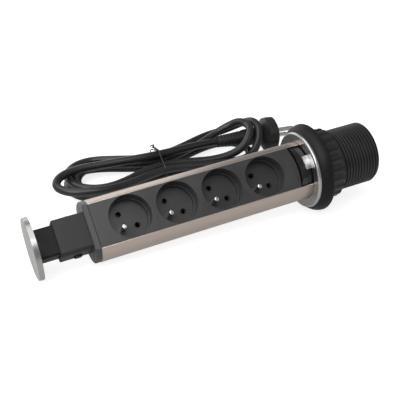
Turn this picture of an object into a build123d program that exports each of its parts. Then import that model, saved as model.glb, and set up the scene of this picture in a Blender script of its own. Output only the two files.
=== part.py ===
from build123d import *
import os
from math import asin, atan, cos, degrees, exp, pi, radians, sin, sqrt, tan

os.makedirs("parts", exist_ok=True)

# Pop up desk socket, lying on a table as it comes out of its box.
# The tower is fully raised out of its collar, the clamp nut is run up under the bezel and
# the mains lead is tied in a hank behind the tower.
# Stations run along the tower's axis from the centre of the first socket towards the collar.

# Tower
tower_radius = 27.75
face_height = 19.2
socket_pitch = 43.5
face_start = -32.0
face_end_length = 33.7
tower_end_run = 26.4
tower_wall = 1.55
lip_width = 0.5
shoulder_drop = 7.15
shoulder_height = face_height - shoulder_drop
rail_drop = 23.25
rail_height = face_height - rail_drop
rail_depth = 2.0
rail_reach = 4.0
module_gap = 0.05
seat_gap = 0.05

# Socket modules
well_radius = 19.0
well_depth = 15.0
well_floor = 2.2
wing_inset = 5.25
module_wing = tower_radius - wing_inset
skirt_wall = 2.3
step_radius = 17.6
step_depth = 10.5
hole_radius = 2.5
hole_collar = 0.7
hole_collar_height = 0.5
pin_pair_half = 9.5
earth_pin_radius = 2.4
earth_pin_height = 12.9
earth_pin_offset = 10.0
earth_pin_tip = 1.4
earth_shank_radius = 2.0
earth_shoulder_gap = 0.1
earth_foot_radius = 4.0
face_end_radius = 55.0
face_groove = 1.0

# Busbars and their carrier
bar_thickness = 1.0
bar_drop = 20.2
bar_level = face_height - bar_drop
bar_width = 5.0
bar_inset = 8.0
bar_spread = module_wing - bar_inset
bar_arm = 5.0
contact_radius = 3.4
contact_gap = 0.1
carrier_thickness = 2.95
carrier_hole_gap = 0.6
terminal_length = 24.0
terminal_half = bar_spread - bar_width / 2
terminal_height = 9.0
terminal_gap = 0.2
terminal_screw_radius = 1.9
terminal_screw_depth = 4.0

# Latch block and spring catch under the ring
latch_radius = tower_radius - tower_wall
latch_drop = 11.0
latch_bottom = face_height - latch_drop
catch_run = 4.4
catch_length = 15.0
catch_half = 6.4
catch_thickness = 0.6
catch_hump = 0.8
catch_hump_length = 3.6

# Outer end plate, neck, buttons and cap
plate_inset = 0.25
plate_thickness = 5.3
plate_edge = 0.6
plate_seam = 0.45
neck_width = 33.2
neck_depth = 26.0
neck_corner = 3.5
neck_length = 27.7
neck_lift = 1.3
neck_edge = 1.5
stem_width = 26.5
stem_depth = 21.0
stem_corner = 2.0
stem_lift = 1.0
stem_gap = 0.3
stem_hold = 7.0
cap_travel = 16.9
cap_stop_gap = 0.6
cap_inset = 0.25
cap_radius = tower_radius - cap_inset
cap_thickness = 4.8
cap_edge = 0.8
button_radius = 3.6
button_gap = 0.3
button_proud = 2.0
button_dome = 0.7
button_travel = 1.5
button_clear = 0.2
button_station_from_neck = 15.0
button_track_depth = 2.2
button_track_gap = 0.6

# Collar: ring, bezel flange and threaded sleeve
slide_gap = 0.3
ring_run = 9.4
ring_thickness = 2.9
ring_width = 8.95
ring_edge_turn = 1.9
bezel_back_run = 14.1
bezel_width = 5.5
bezel_crest_run = 12.8
bezel_front_gap = 0.3
sleeve_run = 71.7
sleeve_wall = 1.55
sleeve_chamfer = 0.6
fit_gap = 0.08

# Clamp washer and nut
washer_gap = 0.3
washer_thickness = 2.3
washer_width = 6.32
nut_gap = 0.2
nut_length = 16.2
nut_wall = 4.12
nut_far_wall = 1.52
nut_chamfer = 2.6
nut_flutes = 22
nut_flute_radius = 3.2
nut_flute_depth = 1.9

# Lower end of the tower and the cord's way out
end_cap_inset = 0.35
end_cap_radius = tower_radius - end_cap_inset
end_cap_thickness = 4.0
end_cap_edge = 0.8
gland_radius = 9.0
gland_flange = 3.0
gland_nose_radius = 7.0
gland_tip_radius = 5.6
gland_length = 9.0

# Mains lead
cord_radius = 4.25
cord_diameter = 2 * cord_radius
cord_rest = 0.05

# Plug
plug_tail = (67.9, 123.0, 19.6)
plug_yaw_degrees = -5.0
plug_drop = 0.9
plug_roll_degrees = -46.0
relief_length = 30.0
relief_tail_radius = 6.2
relief_head_radius = 8.4
relief_rib_depth = 1.1
relief_ribs = 7
grip_length = 38.0
grip_radius = 9.4
head_radius = 18.5
head_start = 21.0
head_flare = 5.0
head_rim = 10.0
head_face_radius = 15.0
plug_pin_radius = 2.4
plug_pin_length = 19.0
plug_pin_half = 9.5
clip_width = 6.0
clip_thickness = 0.8
clip_length = 7.5
clip_gap = 0.05
cut_overrun = 5.0

# Stations that follow the last socket
socket_stations = [0, socket_pitch, 2 * socket_pitch, 3 * socket_pitch]
face_end = socket_stations[-1] + face_end_length
catch_start = face_end + catch_run
ring_face = face_end + ring_run
tower_end = ring_face + tower_end_run
bezel_crest = ring_face + bezel_crest_run
bezel_back = ring_face + bezel_back_run
sleeve_end = ring_face + sleeve_run
ring_radius = tower_radius + slide_gap + ring_width
bezel_radius = ring_radius + bezel_width
sleeve_radius = tower_radius + slide_gap + sleeve_wall
plate_radius = tower_radius - plate_inset
ring_edge_face = ring_radius - ring_edge_turn
bezel_front_radius = ring_radius + bezel_front_gap

# Rest pose: the cap's rim and the bezel's rim both touch the table
neck_start = face_start - plate_thickness
neck_end = neck_start - neck_length
stem_end = neck_end - cap_travel
cap_face = stem_end - cap_thickness
lean = atan((bezel_radius - cap_radius) / (bezel_crest - stem_end))
roll = radians(46.5)
axis_dir = Vector(cos(lean), 0, sin(lean))
up_dir = Vector(-sin(lean), 0, cos(lean))
side_dir = Vector(0, 1, 0)
face_dir = up_dir * sin(roll) - side_dir * cos(roll)
edge_dir = up_dir * cos(roll) + side_dir * sin(roll)
axis_height = bezel_radius * cos(lean) - bezel_crest * sin(lean)
left_x = cap_face * cos(lean) - cap_radius * sin(lean)
right_x = sleeve_end * cos(lean) + (sleeve_radius - sleeve_chamfer) * sin(lean)
zero_point = Vector(-(left_x + right_x) / 2, 0, axis_height)

cross_plane = Plane(origin=zero_point, x_dir=edge_dir, z_dir=axis_dir)
long_plane = Plane(origin=zero_point, x_dir=axis_dir, z_dir=edge_dir * -1)
face_plane = Plane(origin=zero_point, x_dir=axis_dir, z_dir=face_dir)
tower_axis = Axis(origin=zero_point, direction=axis_dir)

slot_half = sqrt(tower_radius**2 - face_height**2) - lip_width
module_half = slot_half - module_gap
cavity_radius = tower_radius - tower_wall
floor_top = face_height - well_depth
floor_bottom = floor_top - well_floor
bore_radius = tower_radius + slide_gap
carrier_bottom = rail_height + seat_gap
carrier_top = carrier_bottom + carrier_thickness
hole_shift = pin_pair_half / sqrt(2)
earth_shift = earth_pin_offset / sqrt(2)


# Tower extrusion
with BuildPart() as housing:
    with BuildSketch(cross_plane.offset(face_start)):
        Circle(tower_radius)
        with Locations((0, face_height + tower_radius)):
            Rectangle(2 * tower_radius, 2 * tower_radius, mode=Mode.SUBTRACT)
        Circle(cavity_radius, mode=Mode.SUBTRACT)
        with BuildSketch(mode=Mode.PRIVATE) as shoulders:
            Circle(tower_radius)
            with Locations((0, face_height + tower_radius), (0, shoulder_height - tower_radius)):
                Rectangle(2 * tower_radius, 2 * tower_radius, mode=Mode.SUBTRACT)
            Rectangle(2 * slot_half, 2 * tower_radius, mode=Mode.SUBTRACT)
        add(shoulders.sketch)
        with BuildSketch(mode=Mode.PRIVATE) as rails:
            Circle(cavity_radius + tower_wall / 2)
            Rectangle(2 * (cavity_radius - rail_reach), 2 * tower_radius, mode=Mode.SUBTRACT)
            with Locations(
                (0, rail_height + tower_radius),
                (0, rail_height - rail_depth - tower_radius),
            ):
                Rectangle(2 * tower_radius, 2 * tower_radius, mode=Mode.SUBTRACT)
        add(rails.sketch)
        with Locations((0, face_height)):
            Rectangle(2 * slot_half, 2 * (face_height - shoulder_height), mode=Mode.SUBTRACT)
    extrude(amount=tower_end - face_start)
housing.part.label = "housing_extrusion"
export_step(housing.part, "parts/housing_extrusion.step")


# Socket modules, each with its round well, stepped wall, two contact holes and pin hole
def socket_module(number, station, near_end, far_end, rounded):
    length = far_end - near_end
    middle = (near_end + far_end) / 2
    with BuildPart() as module:
        with BuildSketch(face_plane.offset(floor_bottom)):
            with Locations((middle, 0)):
                Rectangle(length, 2 * module_wing)
        extrude(amount=shoulder_height - seat_gap - floor_bottom)
        with BuildSketch(face_plane.offset(floor_bottom)):
            with Locations((middle, 0)):
                Rectangle(length, 2 * module_half)
        extrude(amount=face_height - floor_bottom)
        with BuildSketch(face_plane.offset(carrier_top)):
            with Locations(
                (middle, module_wing - skirt_wall / 2), (middle, skirt_wall / 2 - module_wing)
            ):
                Rectangle(length, skirt_wall)
        extrude(amount=floor_bottom - carrier_top)
        if rounded:
            with BuildSketch(face_plane.offset(carrier_top)):
                with Locations((far_end, 0)):
                    Rectangle(4 * face_end_radius, 4 * face_end_radius)
                with Locations((face_end - face_end_radius, 0)):
                    Circle(face_end_radius, mode=Mode.SUBTRACT)
                with Locations((middle - face_end_radius, 0)):
                    Rectangle(2 * face_end_radius, 4 * face_end_radius, mode=Mode.SUBTRACT)
            extrude(amount=face_height - carrier_top + cut_overrun, mode=Mode.SUBTRACT)
        with BuildSketch(face_plane.offset(floor_top)):
            with Locations((station, 0)):
                Circle(step_radius)
        extrude(amount=well_depth, mode=Mode.SUBTRACT)
        with BuildSketch(face_plane.offset(face_height - step_depth)):
            with Locations((station, 0)):
                Circle(well_radius)
        extrude(amount=step_depth, mode=Mode.SUBTRACT)
        with BuildSketch(face_plane.offset(floor_top)):
            with Locations(
                (station - hole_shift, hole_shift), (station + hole_shift, -hole_shift)
            ):
                Circle(hole_radius + hole_collar)
        extrude(amount=hole_collar_height)
        with BuildSketch(face_plane.offset(floor_bottom)):
            with Locations(
                (station - hole_shift, hole_shift), (station + hole_shift, -hole_shift)
            ):
                Circle(hole_radius)
            with Locations((station - earth_shift, -earth_shift)):
                Circle(earth_shank_radius + seat_gap)
        extrude(amount=well_floor + hole_collar_height, mode=Mode.SUBTRACT)
    module.part.label = "socket_module_" + str(number)
    export_step(module.part, "parts/socket_module_" + str(number) + ".step")


half_pitch = socket_pitch / 2
first_start = face_start + module_gap
socket_module(1, socket_stations[0], first_start, half_pitch - module_gap, False)
socket_module(2, socket_stations[1], half_pitch, socket_pitch + half_pitch - module_gap, False)
socket_module(3, socket_stations[2], half_pitch + socket_pitch, socket_pitch * 2 + half_pitch - module_gap, False)
socket_module(4, socket_stations[3], half_pitch + socket_pitch * 2, face_end, True)


# Earth pins, each on a shank through the well's floor to a foot that sits on the earth bar
bar_top = bar_level + bar_thickness
shoulder_station = floor_top + earth_shoulder_gap
for number, station in enumerate(socket_stations, start=1):
    with BuildPart() as earth_pin:
        with BuildSketch(face_plane.offset(bar_top)):
            with Locations((station - earth_shift, -earth_shift)):
                Circle(earth_foot_radius)
        extrude(amount=floor_bottom - contact_gap - bar_top)
        with BuildSketch(face_plane.offset(bar_top)):
            with Locations((station - earth_shift, -earth_shift)):
                Circle(earth_shank_radius)
        extrude(amount=shoulder_station - bar_top)
        with BuildSketch(face_plane.offset(shoulder_station)):
            with Locations((station - earth_shift, -earth_shift)):
                Circle(earth_pin_radius)
        extrude(amount=floor_top + earth_pin_height - shoulder_station)
        tip = earth_pin.edges().group_by(Axis(origin=zero_point, direction=face_dir))[-1]
        fillet(tip, earth_pin_tip)
    earth_pin.part.label = "earth_pin_" + str(number)
    export_step(earth_pin.part, "parts/earth_pin_" + str(number) + ".step")


# Busbars, each a strip with one arm to every socket
bar_start = socket_stations[0] - earth_shift - bar_arm
terminal_start = face_end + face_groove + terminal_gap
bar_end = terminal_start - terminal_gap


def busbar(name, line, shift, arm_station, with_contacts):
    arm_reach = abs(shift - line)
    with BuildPart() as bar:
        with BuildSketch(face_plane.offset(bar_level)):
            with Locations(((bar_start + bar_end) / 2, line)):
                Rectangle(bar_end - bar_start, bar_width)
            for station in socket_stations:
                with Locations((station + arm_station, (line + shift) / 2)):
                    Rectangle(bar_arm, arm_reach)
                with Locations((station + arm_station, shift)):
                    Circle(contact_radius)
        extrude(amount=bar_thickness)
        if with_contacts:
            with BuildSketch(face_plane.offset(bar_top)):
                for station in socket_stations:
                    with Locations((station + arm_station, shift)):
                        Circle(contact_radius)
            extrude(amount=floor_bottom - contact_gap - bar_top)
            with BuildSketch(face_plane.offset(bar_level)):
                for station in socket_stations:
                    with Locations((station + arm_station, shift)):
                        Circle(hole_radius)
            extrude(amount=floor_bottom - bar_level, mode=Mode.SUBTRACT)
    bar.part.label = name
    export_step(bar.part, "parts/" + name + ".step")


busbar("busbar_live", bar_spread, hole_shift, -hole_shift, True)
busbar("busbar_neutral", -bar_spread, -hole_shift, hole_shift, True)
busbar("busbar_earth", 0, -earth_shift, -earth_shift, False)


# Insulating carrier under the busbars
carrier_start = face_start + module_gap
carrier_end = tower_end - module_gap
with BuildPart() as carrier:
    with BuildSketch(face_plane.offset(carrier_bottom)):
        with Locations(((carrier_start + carrier_end) / 2, 0)):
            Rectangle(carrier_end - carrier_start, 2 * module_wing + rail_reach / 2)
    extrude(amount=carrier_thickness)
    with BuildSketch(face_plane.offset(carrier_bottom)):
        for station in socket_stations:
            with Locations((station - hole_shift, hole_shift), (station + hole_shift, -hole_shift)):
                Circle(hole_radius + carrier_hole_gap)
    extrude(amount=carrier_thickness, mode=Mode.SUBTRACT)
carrier.part.label = "contact_carrier"
export_step(carrier.part, "parts/contact_carrier.step")


# Terminal block at the ends of the busbars
with BuildPart() as terminals:
    with BuildSketch(face_plane.offset(carrier_top)):
        with Locations((terminal_start + terminal_length / 2, 0)):
            Rectangle(terminal_length, 2 * terminal_half)
    extrude(amount=terminal_height)
    with BuildSketch(face_plane.offset(carrier_top + terminal_height - terminal_screw_depth)):
        with Locations((terminal_start + terminal_length / 2, 0)):
            with GridLocations(terminal_length / 2, 2 * terminal_half / 3, 2, 3):
                Circle(terminal_screw_radius)
    extrude(amount=terminal_screw_depth, mode=Mode.SUBTRACT)
terminals.part.label = "terminal_block"
export_step(terminals.part, "parts/terminal_block.step")


# Latch block that fills the slot between the last socket and the collar
latch_start = face_end + face_groove
latch_end = tower_end - module_gap
with BuildPart() as latch:
    with BuildSketch(face_plane.offset(latch_bottom)):
        with Locations(((latch_start + latch_end) / 2 - face_end_radius / 8, 0)):
            Rectangle(latch_end - latch_start + face_end_radius / 4, 2 * module_wing)
        with Locations((latch_end + face_end_radius, 0)):
            Rectangle(2 * face_end_radius, 4 * face_end_radius, mode=Mode.SUBTRACT)
        with Locations((latch_start - face_end_radius, 0)):
            Circle(face_end_radius, mode=Mode.SUBTRACT)
        with Locations((latch_start - 2 * face_end_radius + well_depth / 2 - face_end_radius / 4, 0)):
            Rectangle(2 * face_end_radius, 4 * face_end_radius, mode=Mode.SUBTRACT)
    extrude(amount=latch_radius - latch_bottom)
    with BuildSketch(face_plane.offset(shoulder_height - seat_gap)):
        with Locations(
            ((latch_start + latch_end) / 2, module_half + module_wing),
            ((latch_start + latch_end) / 2, -module_half - module_wing),
        ):
            Rectangle(2 * (latch_end - latch_start), 2 * module_wing)
    extrude(amount=latch_radius, mode=Mode.SUBTRACT)
    with BuildSketch(cross_plane.offset(latch_start - face_end_radius)):
        Circle(latch_radius)
    extrude(amount=2 * face_end_radius, mode=Mode.INTERSECT)
latch.part.label = "latch_block"
export_step(latch.part, "parts/latch_block.step")


# Spring catch, a steel tongue with a formed hump, bent to the round of the latch block
catch_end = catch_start + catch_length
catch_low = latch_radius + seat_gap
with BuildPart() as catch:
    with BuildSketch(long_plane):
        with BuildLine():
            hump_start = catch_start + catch_hump_length / 2
            Polyline(
                (catch_start, catch_low),
                (catch_end, catch_low),
                (catch_end, catch_low + catch_thickness),
                (hump_start + 2 * catch_hump_length, catch_low + catch_thickness),
                (hump_start + catch_hump_length, catch_low + catch_thickness + catch_hump),
                (hump_start, catch_low + catch_thickness),
                (catch_start, catch_low + catch_thickness),
                close=True,
            )
        make_face()
    revolve(axis=tower_axis)
    with BuildSketch(long_plane.offset(-catch_half)):
        with Locations((catch_start + catch_length / 2, latch_radius)):
            Rectangle(2 * catch_length, latch_radius)
    extrude(amount=2 * catch_half, mode=Mode.INTERSECT)
catch.part.label = "spring_catch"
export_step(catch.part, "parts/spring_catch.step")


# Outer end plate, cut flat with the tower's face
with BuildPart() as plate:
    with BuildSketch(cross_plane.offset(neck_start)):
        Circle(plate_radius)
        with Locations((0, face_height + tower_radius)):
            Rectangle(2 * tower_radius, 2 * tower_radius, mode=Mode.SUBTRACT)
    extrude(amount=plate_thickness)
    chamfer(plate.faces().sort_by(tower_axis)[0].edges(), plate_edge)
    chamfer(plate.faces().sort_by(tower_axis)[-1].edges().filter_by(GeomType.LINE), plate_seam)
plate.part.label = "end_plate"
export_step(plate.part, "parts/end_plate.step")


# Neck housing with the guide for the cap's stem and a bore for each button
button_station = neck_end + button_station_from_neck
guide_floor = neck_end + stem_hold + cap_travel + cap_stop_gap
with BuildPart() as neck:
    with BuildSketch(cross_plane.offset(neck_end)):
        with Locations((0, neck_lift)):
            RectangleRounded(neck_width, neck_depth, neck_corner)
    extrude(amount=neck_length)
    chamfer(neck.faces().sort_by(tower_axis)[0].edges(), neck_edge / 2)
    with BuildSketch(cross_plane.offset(neck_end)):
        with Locations((0, stem_lift)):
            RectangleRounded(stem_width + 2 * stem_gap, stem_depth + 2 * stem_gap, stem_corner + stem_gap)
    extrude(amount=guide_floor - neck_end, mode=Mode.SUBTRACT)
    button_plane = Plane(
        origin=zero_point + axis_dir * button_station, x_dir=axis_dir, z_dir=edge_dir
    )
    with BuildSketch(button_plane):
        Circle(button_radius + button_gap)
    extrude(amount=neck_width, both=True, mode=Mode.SUBTRACT)
neck.part.label = "neck_housing"
export_step(neck.part, "parts/neck_housing.step")


# Release buttons on both sides of the neck
button_inner = stem_width / 2 + stem_gap + button_travel + button_clear
button_outer = neck_width / 2 + button_proud
for side_name, sign in (("upper", 1), ("lower", -1)):
    side_plane = Plane(
        origin=zero_point + axis_dir * button_station + edge_dir * (sign * button_inner),
        x_dir=axis_dir,
        z_dir=edge_dir * sign,
    )
    with BuildPart() as button:
        with BuildSketch(side_plane):
            Circle(button_radius)
        extrude(amount=button_outer - button_inner)
        top = button.edges().sort_by(Axis(origin=zero_point, direction=edge_dir * sign))[-1]
        fillet(top, button_dome)
    button.part.label = "release_button_" + side_name
    export_step(button.part, "parts/release_button_" + side_name + ".step")


# Cap stem with a track for each button, and the round cap
with BuildPart() as stem:
    with BuildSketch(cross_plane.offset(stem_end)):
        with Locations((0, stem_lift)):
            RectangleRounded(stem_width, stem_depth, stem_corner)
    extrude(amount=cap_travel + stem_hold)
    with BuildSketch(cross_plane.offset(neck_end)):
        with Locations((stem_width / 2, 0), (-stem_width / 2, 0)):
            Rectangle(2 * button_track_depth, 2 * (button_radius + button_track_gap))
    extrude(amount=stem_hold, mode=Mode.SUBTRACT)
stem.part.label = "cap_stem"
export_step(stem.part, "parts/cap_stem.step")

with BuildPart() as cap:
    with BuildSketch(cross_plane.offset(cap_face)):
        Circle(cap_radius)
    extrude(amount=cap_thickness)
    fillet(cap.edges().filter_by(GeomType.CIRCLE).sort_by(tower_axis)[0], cap_edge)
cap.part.label = "cap_disc"
export_step(cap.part, "parts/cap_disc.step")


# Lower end cap and cord gland
with BuildPart() as end_cap:
    with BuildSketch(cross_plane.offset(tower_end)):
        Circle(end_cap_radius)
    extrude(amount=end_cap_thickness)
    chamfer(end_cap.edges().filter_by(GeomType.CIRCLE).sort_by(tower_axis)[-1], end_cap_edge)
end_cap.part.label = "bottom_cap"
export_step(end_cap.part, "parts/bottom_cap.step")

gland_start = tower_end + end_cap_thickness
gland_end = gland_start + gland_length
with BuildPart() as gland:
    with BuildSketch(long_plane):
        with BuildLine():
            Polyline(
                (gland_start, 0),
                (gland_start, gland_radius),
                (gland_start + gland_flange, gland_radius),
                (gland_start + gland_flange, gland_nose_radius),
                (gland_end, gland_tip_radius),
                (gland_end, 0),
                close=True,
            )
        make_face()
    revolve(axis=tower_axis)
gland.part.label = "cord_gland"
export_step(gland.part, "parts/cord_gland.step")


# Steel ring with a rounded bright edge
ring_back = ring_face + ring_thickness
with BuildPart() as ring:
    with BuildSketch(long_plane):
        with BuildLine():
            Line((ring_back, bore_radius), (ring_face, bore_radius))
            Line((ring_face, bore_radius), (ring_face, ring_edge_face))
            RadiusArc((ring_face, ring_edge_face), (ring_face + ring_edge_turn, ring_radius), ring_edge_turn)
            Line((ring_face + ring_edge_turn, ring_radius), (ring_back, ring_radius))
            Line((ring_back, ring_radius), (ring_back, bore_radius))
        make_face()
    revolve(axis=tower_axis)
ring.part.label = "flange_ring"
export_step(ring.part, "parts/flange_ring.step")


# Bezel flange with its domed edge, seated on the sleeve
sleeve_start = ring_back
with BuildPart() as bezel:
    with BuildSketch(long_plane):
        with BuildLine():
            Line((bezel_back, sleeve_radius), (ring_back, sleeve_radius))
            Line((ring_back, sleeve_radius), (ring_back, bezel_front_radius))
            ThreePointArc(
                (ring_back, bezel_front_radius),
                (
                    ring_back + (bezel_crest - ring_back) * 0.42,
                    bezel_front_radius + (bezel_radius - bezel_front_radius) * 0.72,
                ),
                (bezel_crest, bezel_radius),
            )
            Line((bezel_crest, bezel_radius), (bezel_back, bezel_radius - (bezel_back - bezel_crest) / 2))
            Line((bezel_back, bezel_radius - (bezel_back - bezel_crest) / 2), (bezel_back, sleeve_radius))
        make_face()
    revolve(axis=tower_axis)
bezel.part.label = "bezel_flange"
export_step(bezel.part, "parts/bezel_flange.step")


# Threaded sleeve, drawn at the crest of its thread
with BuildPart() as sleeve:
    with BuildSketch(cross_plane.offset(sleeve_start)):
        Circle(sleeve_radius)
        Circle(bore_radius, mode=Mode.SUBTRACT)
    extrude(amount=sleeve_end - sleeve_start)
    outer_end = sleeve.edges().filter_by(GeomType.CIRCLE).group_by(tower_axis)[-1].sort_by(SortBy.RADIUS)[-1]
    chamfer(outer_end, sleeve_chamfer)
sleeve.part.label = "threaded_sleeve"
export_step(sleeve.part, "parts/threaded_sleeve.step")


# Clamp washer and the fluted clamp nut
thread_bore = sleeve_radius + fit_gap
washer_radius = thread_bore + washer_width
nut_radius = thread_bore + nut_wall
nut_far_radius = thread_bore + nut_far_wall
washer_start = bezel_back + washer_gap
with BuildPart() as washer:
    with BuildSketch(cross_plane.offset(washer_start)):
        Circle(washer_radius)
        Circle(thread_bore, mode=Mode.SUBTRACT)
    extrude(amount=washer_thickness)
washer.part.label = "clamp_washer"
export_step(washer.part, "parts/clamp_washer.step")

nut_start = washer_start + washer_thickness + nut_gap
nut_end = nut_start + nut_length
with BuildPart() as nut:
    with BuildSketch(long_plane):
        with BuildLine():
            Polyline(
                (nut_start, thread_bore),
                (nut_start, nut_radius),
                (nut_end - nut_chamfer, nut_radius),
                (nut_end, nut_far_radius),
                (nut_end, thread_bore),
                close=True,
            )
        make_face()
    revolve(axis=tower_axis)
    with BuildSketch(cross_plane.offset(nut_start)):
        with PolarLocations(nut_radius + nut_flute_radius - nut_flute_depth, nut_flutes):
            Circle(nut_flute_radius)
    extrude(amount=nut_length, mode=Mode.SUBTRACT)
nut.part.label = "clamp_nut"
export_step(nut.part, "parts/clamp_nut.step")


# Plug: ribbed strain relief, body, two pins and the side earth clips
yaw = radians(plug_yaw_degrees)
plug_length = relief_length + grip_length
dip = asin(plug_drop / plug_length)
plug_dir = Vector(cos(yaw) * cos(dip), sin(yaw) * cos(dip), -sin(dip))
plug_side = Vector(-sin(yaw), cos(yaw), 0)
plug_up = plug_dir.cross(plug_side)
plug_point = Vector(*plug_tail)
pair_dir = plug_side * cos(radians(plug_roll_degrees)) + plug_up * sin(radians(plug_roll_degrees))
plug_profile = Plane(origin=plug_point, x_dir=plug_dir, z_dir=pair_dir)
plug_axis = Axis(origin=plug_point, direction=plug_dir)

rib_pitch = relief_length / (relief_ribs + 1)
with BuildPart() as relief:
    with BuildSketch(plug_profile):
        with BuildLine():
            slope = (relief_head_radius - relief_tail_radius) / relief_length
            outline = [(0, 0), (0, relief_tail_radius)]
            for rib in range(1, relief_ribs + 1):
                start = rib * rib_pitch - rib_pitch / 4
                stop = rib * rib_pitch + rib_pitch / 4
                outline.append((start, relief_tail_radius + slope * start))
                outline.append((start, relief_tail_radius + slope * start - relief_rib_depth))
                outline.append((stop, relief_tail_radius + slope * stop - relief_rib_depth))
                outline.append((stop, relief_tail_radius + slope * stop))
            outline.append((relief_length, relief_head_radius))
            outline.append((relief_length, 0))
            Polyline(*outline, close=True)
        make_face()
    revolve(axis=plug_axis)
relief.part.label = "plug_strain_relief"
export_step(relief.part, "parts/plug_strain_relief.step")

flare_end = relief_length + head_start + head_flare
rim_end = flare_end + head_rim
with BuildPart() as plug:
    with BuildSketch(plug_profile):
        with BuildLine():
            Polyline(
                (relief_length, 0),
                (relief_length, relief_head_radius + (grip_radius - relief_head_radius) / 2),
                (relief_length + head_start / 3, grip_radius),
                (relief_length + head_start, grip_radius),
                (flare_end, head_radius),
                (rim_end, head_radius),
                (rim_end, head_face_radius),
                (plug_length, head_face_radius),
                (plug_length, 0),
                close=True,
            )
        make_face()
    revolve(axis=plug_axis)
    clip_dir = plug_dir.cross(pair_dir)
    for sign in (1, -1):
        clip_plane = Plane(
            origin=plug_point + plug_dir * (rim_end - clip_length / 2) + clip_dir * (sign * head_radius),
            x_dir=plug_dir,
            z_dir=clip_dir * -sign,
        )
        with BuildSketch(clip_plane):
            Rectangle(clip_length + 2 * clip_gap, clip_width + 2 * clip_gap)
        extrude(amount=clip_thickness + clip_gap, mode=Mode.SUBTRACT)
plug.part.label = "plug_body"
export_step(plug.part, "parts/plug_body.step")

plug_face = Plane(origin=plug_point + plug_dir * plug_length, x_dir=pair_dir, z_dir=plug_dir)
for number, sign in ((1, 1), (2, -1)):
    with BuildPart() as plug_pin:
        with BuildSketch(plug_face):
            with Locations((sign * plug_pin_half, 0)):
                Circle(plug_pin_radius)
        extrude(amount=plug_pin_length)
        fillet(plug_pin.edges().filter_by(GeomType.CIRCLE).sort_by(plug_axis)[-1], plug_pin_radius / 2)
    plug_pin.part.label = "plug_pin_" + str(number)
    export_step(plug_pin.part, "parts/plug_pin_" + str(number) + ".step")

for side_name, sign in (("upper", -1), ("lower", 1)):
    clip_plane = Plane(
        origin=plug_point + plug_dir * (rim_end - clip_length / 2) + clip_dir * (sign * head_radius),
        x_dir=plug_dir,
        z_dir=clip_dir * -sign,
    )
    with BuildPart() as clip:
        with BuildSketch(clip_plane.offset(-clip_thickness / 3)):
            Rectangle(clip_length, clip_width)
        extrude(amount=clip_thickness / 3 + clip_thickness)
    clip.part.label = "plug_earth_clip_" + side_name
    export_step(clip.part, "parts/plug_earth_clip_" + side_name + ".step")


# Hank of the mains lead: loops drawn in at the waist, spiralling in on the first layer and
# out again on the second, with the last length crossing over the top to the plug
hank_left = -108.0
hank_right = 117.0
hank_waist = -5.0
hank_middle = 121.0
left_lobe = 38.0
right_lobe = 37.0
waist_half = 18.0
waist_middle = 115.0
loop_step = 10.1
layer_rise = 9.3
waist_lift = 1.7
waist_spread = 30.0
plug_hump = 20.6
hump_from = 54.0
hump_to = 96.0
hump_near = 10.0
hump_far = 37.0
first_turn = 0.115
last_turn = 3.30
first_offset_share = 0.30
reverse_turn = 1.55


def ease(value, low, high):
    share = min(1, max(0, (value - low) / (high - low)))
    return (1 - cos(pi * share)) / 2


def loop_offset(turn):
    inward = first_offset_share + (turn - first_turn)
    peak = first_offset_share + (reverse_turn - first_turn)
    outward = peak - (turn - reverse_turn)
    return loop_step * min(inward, outward)


def loop_layer(turn):
    return ease(turn, reverse_turn - 0.17, reverse_turn + 0.17)


left_centre = hank_left + left_lobe
right_centre = hank_right - right_lobe
side_length = right_centre - left_centre
right_quarter = pi * right_lobe / 2
left_quarter = pi * left_lobe / 2
half_loop = right_quarter + side_length + left_quarter


def side_half(x):
    if x < hank_waist:
        return left_lobe + (waist_half - left_lobe) * ease(x, left_centre, hank_waist)
    return waist_half + (right_lobe - waist_half) * ease(x, hank_waist, right_centre)


def middle_line(x):
    return hank_middle + (waist_middle - hank_middle) * exp(-(((x - hank_waist) / (2 * waist_spread)) ** 2))


def hank_point(turn):
    offset = loop_offset(turn)
    whole = turn % 1
    near = whole < 0.5
    run = (whole if near else 1 - whole) * 2 * half_loop
    if run < right_quarter:
        angle = run / right_lobe
        x = right_centre + (right_lobe - offset) * cos(angle)
        reach = (right_lobe - offset) * sin(angle)
    elif run < right_quarter + side_length:
        x = right_centre - (run - right_quarter)
        reach = side_half(x) - offset
    else:
        angle = (run - right_quarter - side_length) / left_lobe
        x = left_centre - (left_lobe - offset) * sin(angle)
        reach = (left_lobe - offset) * cos(angle)
    layer = loop_layer(turn)
    lift = waist_lift * exp(-(((x - hank_waist) / waist_spread) ** 2))
    hump = plug_hump * ease(x, hump_from, hump_to) * (1 - ease(reach, hump_near, hump_far)) * layer
    y = middle_line(x) - reach if near else middle_line(x) + reach
    return Vector(x, y, cord_rest + cord_radius + lift + layer * layer_rise + hump)


# Chosen places of the last length: up on the third layer, round the far left, and over to the plug
crossing_height = 24.4
last_places = [
    (-38.0, 88.3, 15.2),
    (-60.0, 81.6, 16.5),
    (-88.0, 83.0, 17.5),
    (-107.0, 90.5, 17.5),
    (-117.0, 103.5, 18.5),
    (-111.0, 116.5, 21.3),
    (-92.0, 122.5, 22.9),
    (-60.0, 120.5, 22.9),
    (-22.0, 115.5, 24.0),
    (8.0, 114.5, crossing_height),
    (38.0, 119.0, 22.8),
]
steps_a_turn = 14
step_count = round((last_turn - first_turn) * steps_a_turn)
hank_route = [
    hank_point(first_turn + (last_turn - first_turn) * step / step_count) for step in range(step_count + 1)
]
nudge = 0.002
start_tangent = (hank_point(first_turn + nudge) - hank_point(first_turn)).normalized()
end_tangent = plug_dir
hank_route += [Vector(*place) for place in last_places]
tail_straight = plug_point - plug_dir * cord_diameter
hank_route.append(tail_straight)

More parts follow.
